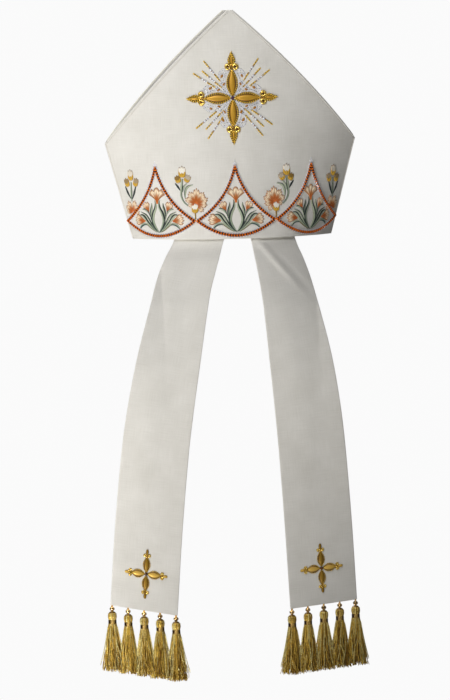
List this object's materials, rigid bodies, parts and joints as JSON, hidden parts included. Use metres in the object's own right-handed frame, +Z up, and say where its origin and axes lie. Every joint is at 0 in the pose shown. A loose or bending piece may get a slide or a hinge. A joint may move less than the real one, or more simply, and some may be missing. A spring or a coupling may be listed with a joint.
{
  "type": "bishop mitre",
  "caption": "Two-horned stiff cloth headdress with an open crown, embroidered scallops round its rim, a goldwork cross and two tasselled lappets hanging behind.",
  "frame": {"origin": "middle of the head opening in the plane of the rim, where the mitre sits on a head", "axes": "+Z up along the mitre's height, +Y towards the wearer's face, +X to the wearer's right, so the lappets hang at -Y"},
  "size_m": [0.3336, 0.1908, 0.8183],
  "materials": {
    "cream_cloth": "matte cream woven cloth",
    "crown_cloth": "matte cream cloth of the crown",
    "gold_thread": "satin gold metallic thread",
    "gold_metal": "polished gilt metal",
    "orange_stone": "glossy faceted orange stones",
    "silver_thread": "silver metallic thread",
    "petal_thread": "satin stitch in peach, cream and orange",
    "leaf_thread": "satin stitch in sage and dark green"
  },
  "bodies": {
    "root": {"back_panel": "cream_cloth", "front_panel": "cream_cloth", "crown_gusset": "crown_cloth", "stone_chain_back_left": "orange_stone", "stone_chain_back_middle": "orange_stone", "stone_chain_back_right": "orange_stone", "stone_chain_front_left": "orange_stone", "stone_chain_front_middle": "orange_stone", "stone_chain_front_right": "orange_stone", "back_cross": "gold_thread", "lappet_left": "cream_cloth", "lappet_cross_left": "gold_thread", "tassel_bead_left_1": "gold_metal", "tassel_left_1": "gold_thread", "tassel_bead_left_2": "gold_metal", "tassel_left_2": "gold_thread", "tassel_bead_left_3": "gold_metal", "tassel_left_3": "gold_thread", "tassel_bead_left_4": "gold_metal", "tassel_left_4": "gold_thread", "tassel_bead_left_5": "gold_metal", "tassel_left_5": "gold_thread", "lappet_right": "cream_cloth", "lappet_cross_right": "gold_thread", "tassel_bead_right_1": "gold_metal", "tassel_right_1": "gold_thread", "tassel_bead_right_2": "gold_metal", "tassel_right_2": "gold_thread", "tassel_bead_right_3": "gold_metal", "tassel_right_3": "gold_thread", "tassel_bead_right_4": "gold_metal", "tassel_right_4": "gold_thread", "tassel_bead_right_5": "gold_metal", "tassel_right_5": "gold_thread"}
  },
  "joints": []
}
